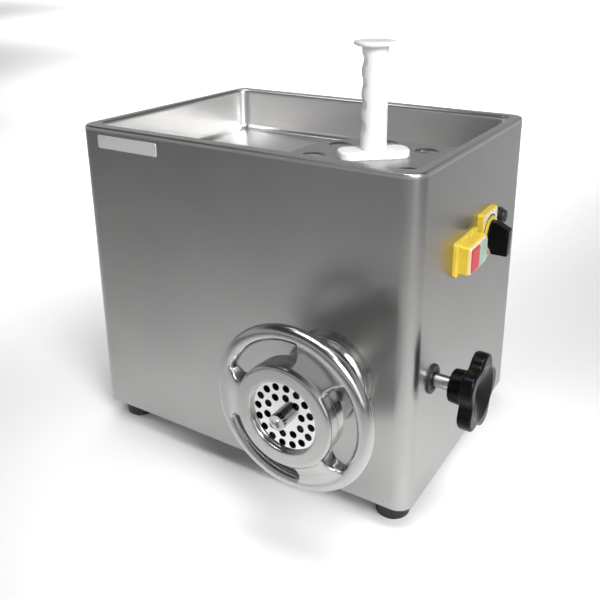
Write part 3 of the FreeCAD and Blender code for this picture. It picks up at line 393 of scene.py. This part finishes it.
PAN_FLOOR_Z = 0.403
POST_PLACES = ((0.03275, -0.10225), (0.19475, -0.10225), (0.19475, 0.04175), (0.07075, 0.01975))
POST_R = 0.0040
POST_BEAD = 0.0022           # width and height of a bead
THROAT_PLACE = (HEAD_X, -0.04025)
FLANGE_R = 0.0390
FLANGE_BEAD = 0.0014
RIPPLE_LENGTH = 0.0022
FEWEST_RIPPLES = 14


def bead_profile(radius, size, points=7):
    """Half-round cross-section of a weld bead that lies in the corner at a radius."""
    outline = [(radius, 0.0)]
    for k in range(points):
        turn = 0.5 * math.pi * k / (points - 1)
        outline.append((radius + size * math.cos(turn), size * math.sin(turn)))
    return outline


def weld_bead(place, radius, size, rng):
    """Rippled bead round something upright on the pan's floor."""
    ripples = max(FEWEST_RIPPLES, int(2 * math.pi * radius / RIPPLE_LENGTH))
    bead = lathe(bead_profile(radius, size), ripples * 4)
    for vertex in bead.verts:
        turn = math.atan2(vertex.co.y, vertex.co.x)
        wave = 0.88 + 0.10 * math.cos(ripples * turn) + rng.uniform(-0.03, 0.03)
        reach = math.hypot(vertex.co.x, vertex.co.y)
        scale = (radius + (reach - radius) * wave) / reach
        vertex.co.x = place[0] + vertex.co.x * scale
        vertex.co.y = place[1] + vertex.co.y * scale
        vertex.co.z = PAN_FLOOR_Z + vertex.co.z * wave
    return mesh_data("bead", bead)


def add_welds():
    """Weld beads where the guard's posts and the throat flange meet the pan."""
    rng = random.Random(7)
    beads = bmesh.new()
    for place in POST_PLACES:
        beads.from_mesh(weld_bead(place, POST_R, POST_BEAD, rng))
    beads.from_mesh(weld_bead(THROAT_PLACE, FLANGE_R, FLANGE_BEAD, rng))
    data = mesh_data("pan_welds", beads)
    for face in data.polygons:
        face.use_smooth = True
    add_piece("pan_welds", data, "housing", "zinc_plated")


# Profiles of (radius, height) over the selector's ring.
LINE_PROFILE = ((0.0255, 0), (0.0275, 0), (0.0275, 0.0006), (0.0272, 0.0008), (0.0258, 0.0008),
                (0.0255, 0.0006))
LABEL_PROFILE = ((0.0090, 0), (0.0200, 0), (0.0200, 0.0003), (0.0090, 0.0003))
LABEL_HALF_WIDTH = 0.0262
LABEL_HALF_HEIGHT = 0.0317
CORNER_POWER = 14            # the higher, the sharper the label's corners


def squared(mesh, half_width, half_height, outside):
    """Push the vertices beyond a radius out to a rectangle with soft corners."""
    for vertex in mesh.verts:
        reach = math.hypot(vertex.co.x, vertex.co.y)
        if reach > outside:
            across = abs(vertex.co.x / reach / half_height) ** CORNER_POWER
            along = abs(vertex.co.y / reach / half_width) ** CORNER_POWER
            scale = (across + along) ** (-1 / CORNER_POWER) / reach
            vertex.co.x *= scale
            vertex.co.y *= scale


def add_selector_scale():
    """Pale dial label and black outline round the selector, both blank."""
    low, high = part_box("selector_ring")
    place = Matrix.Translation((low[0], (low[1] + high[1]) / 2, (low[2] + high[2]) / 2))
    place = place @ Matrix.Rotation(math.radians(90), 4, "Y")
    line = lathe(LINE_PROFILE, 96)
    label = lathe(LABEL_PROFILE, 192)
    squared(label, LABEL_HALF_WIDTH, LABEL_HALF_HEIGHT, 0.0150)
    for name, mesh, slot in (("selector_line", line, "black_plastic"),
                             ("selector_label", label, "pale_plastic")):
        mesh.transform(place)
        add_piece(name, mesh_data(name, mesh), "housing", slot)


# ---------------------------------------------------------------- stage, light and camera
def add_area_light(name, place, aim, size, power, spread):
    data = bpy.data.lights.new(name, "AREA")
    data.shape = "RECTANGLE"
    data.size = size[0]
    data.size_y = size[1]
    data.energy = power
    data.spread = math.radians(spread)
    light = bpy.data.objects.new(name, data)
    bpy.context.scene.collection.objects.link(light)
    light.location = place
    direction = Vector(aim) - Vector(place)
    light.rotation_euler = direction.to_track_quat("-Z", "Y").to_euler()


def add_floor():
    bpy.ops.mesh.primitive_circle_add(vertices=96, radius=40.0, fill_type="NGON", location=(0, 0, 0))
    floor = bpy.context.object
    floor.name = "floor"
    shader = Shader("floor")
    cloud = shader.noise((1.5, 1.5, 1.5))
    shader.drive("Base Color", shader.colours(cloud, (0.89, 0.89, 0.89), (0.91, 0.91, 0.91)))
    shader.set(Roughness=0.7)
    floor.data.materials.append(shader.material)


def add_world():
    """A plain studio: pale walls all round, a dim ceiling."""
    world = bpy.data.worlds.new("studio")
    bpy.context.scene.world = world
    world.use_nodes = True
    tree = world.node_tree
    place = tree.nodes.new("ShaderNodeTexCoord")
    split = tree.nodes.new("ShaderNodeSeparateXYZ")
    tree.links.new(place.outputs["Generated"], split.inputs["Vector"])
    ramp = tree.nodes.new("ShaderNodeValToRGB")
    ramp.color_ramp.interpolation = "EASE"
    ramp.color_ramp.elements[0].position = 0.30
    ramp.color_ramp.elements[0].color = (1, 1, 1, 1)
    ramp.color_ramp.elements[1].position = 0.62
    ramp.color_ramp.elements[1].color = (0.1, 0.1, 0.1, 1)
    tree.links.new(split.outputs["Z"], ramp.inputs["Fac"])
    sky = tree.nodes["Background"]
    sky.inputs["Strength"].default_value = 0.55
    tree.links.new(ramp.outputs["Color"], sky.inputs["Color"])


FLOOR_LIGHTS = {             # place, size, power and spread of lamps that light the floor below them
    "left_floor": ((-1.0, 0.9, 1.6), (1.2, 1.4), 13.5, 80.0),
    "far_left_floor": ((-2.4, 2.2, 2.2), (2.0, 2.0), 12.2, 90.0),
    "front_floor": ((0.05, -0.3, 1.0), (0.6, 0.3), 0.6, 50.0),
    "back_floor": ((-1.6, 3.2, 2.5), (2.6, 2.2), 44.8, 90.0),
    "right_back_floor": ((0.2, 2.4, 2.2), (2.0, 2.0), 8.9, 90.0),
    "far_floor": ((-4.2, 7.0, 4.0), (6.0, 5.0), 313.0, 100.0),
    "farthest_floor": ((-7.0, 14.0, 6.0), (16.0, 10.0), 1200.0, 110.0),
}


AIMED_LIGHTS = {             # place, aim, size, power and spread
    "right_floor": ((0.75, 0.1, 1.3), (0.55, 0.1, 0), (0.4, 0.6), 0.55, 60.0),
    "near_right_floor": ((0.6, -0.2, 0.9), (0.42, -0.1, 0), (0.3, 0.4), 0.35, 50.0),
    "right_softbox": ((2.3, -1.25, 0.85), (0, 0, 0.45), (1.0, 1.3), 2.6, 120.0),
    "high_softbox": ((1.9, -1.2, 1.9), (0, 0, 0.45), (1.0, 1.0), 18.0, 90.0),
}


def add_lights():
    """Lamps that whiten the floor behind and beside the machine, and softboxes at the right."""
    for name, (place, size, power, spread) in FLOOR_LIGHTS.items():
        add_area_light(name, place, (place[0], place[1], 0), size, power, spread)
    for name, light in AIMED_LIGHTS.items():
        add_area_light(name, *light)


CAMERA_PLACE = (0.52499, -0.84409, 0.68798)
CAMERA_AZIMUTH = 31.51
CAMERA_ELEVATION = 18.51
CAMERA_ROLL = -0.195
CAMERA_LENS = 44.31
CAMERA_SHIFT = (-0.0235, -0.15)


def add_camera():
    """A 44 mm view from the front right, a little above the machine."""
    azimuth = math.radians(CAMERA_AZIMUTH)
    elevation = math.radians(CAMERA_ELEVATION)
    roll = math.radians(CAMERA_ROLL)
    back = Vector((math.sin(azimuth) * math.cos(elevation),
                   -math.cos(azimuth) * math.cos(elevation), math.sin(elevation)))
    side = Vector((0, 0, 1)).cross(back).normalized()
    up = back.cross(side)
    columns = (side * math.cos(roll) + up * math.sin(roll),
               up * math.cos(roll) - side * math.sin(roll), back)
    data = bpy.data.cameras.new("camera")
    data.lens = CAMERA_LENS
    data.sensor_width = 36.0
    data.shift_x, data.shift_y = CAMERA_SHIFT
    camera = bpy.data.objects.new("camera", data)
    bpy.context.scene.collection.objects.link(camera)
    camera.matrix_world = Matrix.Translation(CAMERA_PLACE) @ Matrix(columns).transposed().to_4x4()
    bpy.context.scene.camera = camera


def set_colour_management():
    settings = bpy.context.scene.view_settings
    settings.view_transform = "Standard"
    settings.look = "None"


dress_nodes()
add_hand_wheel()
for moulding in MOULDINGS:
    add_moulding(*moulding)
add_welds()
add_selector_scale()
add_floor()
add_world()
add_lights()
add_camera()
set_colour_management()
